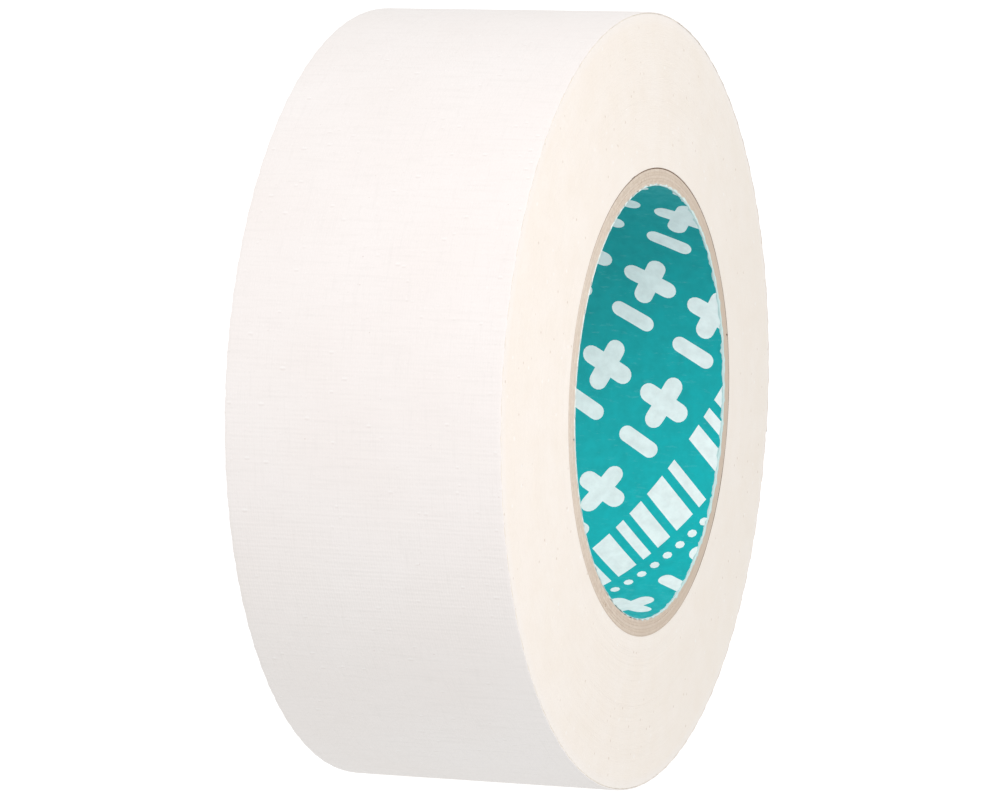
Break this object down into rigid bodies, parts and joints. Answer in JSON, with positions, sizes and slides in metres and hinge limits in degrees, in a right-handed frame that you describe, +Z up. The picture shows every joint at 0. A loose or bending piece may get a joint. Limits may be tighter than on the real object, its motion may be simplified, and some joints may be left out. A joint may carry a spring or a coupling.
{
  "type": "grip tape roll",
  "caption": "Roll of white woven cloth adhesive grip tape wound on a spiral paper core with a printed liner; the free end peels away.",
  "frame": {"origin": "on the axis of the core, halfway across the outermost turn of tape", "axes": "+Z up when the roll stands on its rim; the roll's axis lies along Y, and the face where the core stands out looks along -Y; the tape's cut end is on the +X side"},
  "size_m": [0.1376, 0.0517, 0.1374],
  "materials": {
    "printed_paper": "satin printed paper, teal with white marks",
    "chipboard": "matt grey-brown board",
    "kraft_paper": "matt brown paper",
    "wound_tape": "matt cream, cut edges of the turns",
    "adhesive": "pale tacky rubber",
    "woven_cloth": "matt white plain weave"
  },
  "bodies": {
    "roll": {"core_liner": "printed_paper", "core_ply_1": "chipboard", "core_ply_2": "chipboard", "core_ply_3": "chipboard", "core_ply_4": "chipboard", "core_ply_5": "chipboard", "core_wrap": "kraft_paper", "wound_tape": "wound_tape", "outer_turn_adhesive": "adhesive", "outer_turn_cloth": "woven_cloth"},
    "tape_end_1": {"tape_end_adhesive_1": "adhesive", "tape_end_cloth_1": "woven_cloth"},
    "tape_end_2": {"tape_end_adhesive_2": "adhesive", "tape_end_cloth_2": "woven_cloth"},
    "tape_end_3": {"tape_end_adhesive_3": "adhesive", "tape_end_cloth_3": "woven_cloth"},
    "tape_end_4": {"tape_end_adhesive_4": "adhesive", "tape_end_cloth_4": "woven_cloth"},
    "tape_end_5": {"tape_end_adhesive_5": "adhesive", "tape_end_cloth_5": "woven_cloth"},
    "tape_end_6": {"tape_end_adhesive_6": "adhesive", "tape_end_cloth_6": "woven_cloth"},
    "tape_end_7": {"tape_end_adhesive_7": "adhesive", "tape_end_cloth_7": "woven_cloth"},
    "tape_end_8": {"tape_end_adhesive_8": "adhesive", "tape_end_cloth_8": "woven_cloth"},
    "tape_end_9": {"tape_end_adhesive_9": "adhesive", "tape_end_cloth_9": "woven_cloth"}
  },
  "joints": [
    {"name": "tape_end_peel_1", "type": "hinge", "parent": "roll", "child": "tape_end_1", "pos_m": [0.02249, 0, 0.06504], "axis": [0, -1, 0], "range_deg": [0, 20]},
    {"name": "tape_end_peel_2", "type": "hinge", "parent": "tape_end_1", "child": "tape_end_2", "pos_m": [0.0324, 0, 0.06073], "axis": [0, -1, 0], "range_deg": [0, 20]},
    {"name": "tape_end_peel_3", "type": "hinge", "parent": "tape_end_2", "child": "tape_end_3", "pos_m": [0.0415, 0, 0.05493], "axis": [0, -1, 0], "range_deg": [0, 20]},
    {"name": "tape_end_peel_4", "type": "hinge", "parent": "tape_end_3", "child": "tape_end_4", "pos_m": [0.04959, 0, 0.04778], "axis": [0, -1, 0], "range_deg": [0, 20]},
    {"name": "tape_end_peel_5", "type": "hinge", "parent": "tape_end_4", "child": "tape_end_5", "pos_m": [0.05646, 0, 0.03945], "axis": [0, -1, 0], "range_deg": [0, 20]},
    {"name": "tape_end_peel_6", "type": "hinge", "parent": "tape_end_5", "child": "tape_end_6", "pos_m": [0.06194, 0, 0.03015], "axis": [0, -1, 0], "range_deg": [0, 20]},
    {"name": "tape_end_peel_7", "type": "hinge", "parent": "tape_end_6", "child": "tape_end_7", "pos_m": [0.06589, 0, 0.0201], "axis": [0, -1, 0], "range_deg": [0, 20]},
    {"name": "tape_end_peel_8", "type": "hinge", "parent": "tape_end_7", "child": "tape_end_8", "pos_m": [0.06823, 0, 0.00956], "axis": [0, -1, 0], "range_deg": [0, 20]},
    {"name": "tape_end_peel_9", "type": "hinge", "parent": "tape_end_8", "child": "tape_end_9", "pos_m": [0.06889, 0, -0.00122], "axis": [0, -1, 0], "range_deg": [0, 20]}
  ],
  "couplings": [
    {"joint": "tape_end_peel_2", "follows": "tape_end_peel_1", "ratio": 1},
    {"joint": "tape_end_peel_3", "follows": "tape_end_peel_1", "ratio": 1},
    {"joint": "tape_end_peel_4", "follows": "tape_end_peel_1", "ratio": 1},
    {"joint": "tape_end_peel_5", "follows": "tape_end_peel_1", "ratio": 1},
    {"joint": "tape_end_peel_6", "follows": "tape_end_peel_1", "ratio": 1},
    {"joint": "tape_end_peel_7", "follows": "tape_end_peel_1", "ratio": 1},
    {"joint": "tape_end_peel_8", "follows": "tape_end_peel_1", "ratio": 1},
    {"joint": "tape_end_peel_9", "follows": "tape_end_peel_1", "ratio": 1}
  ]
}
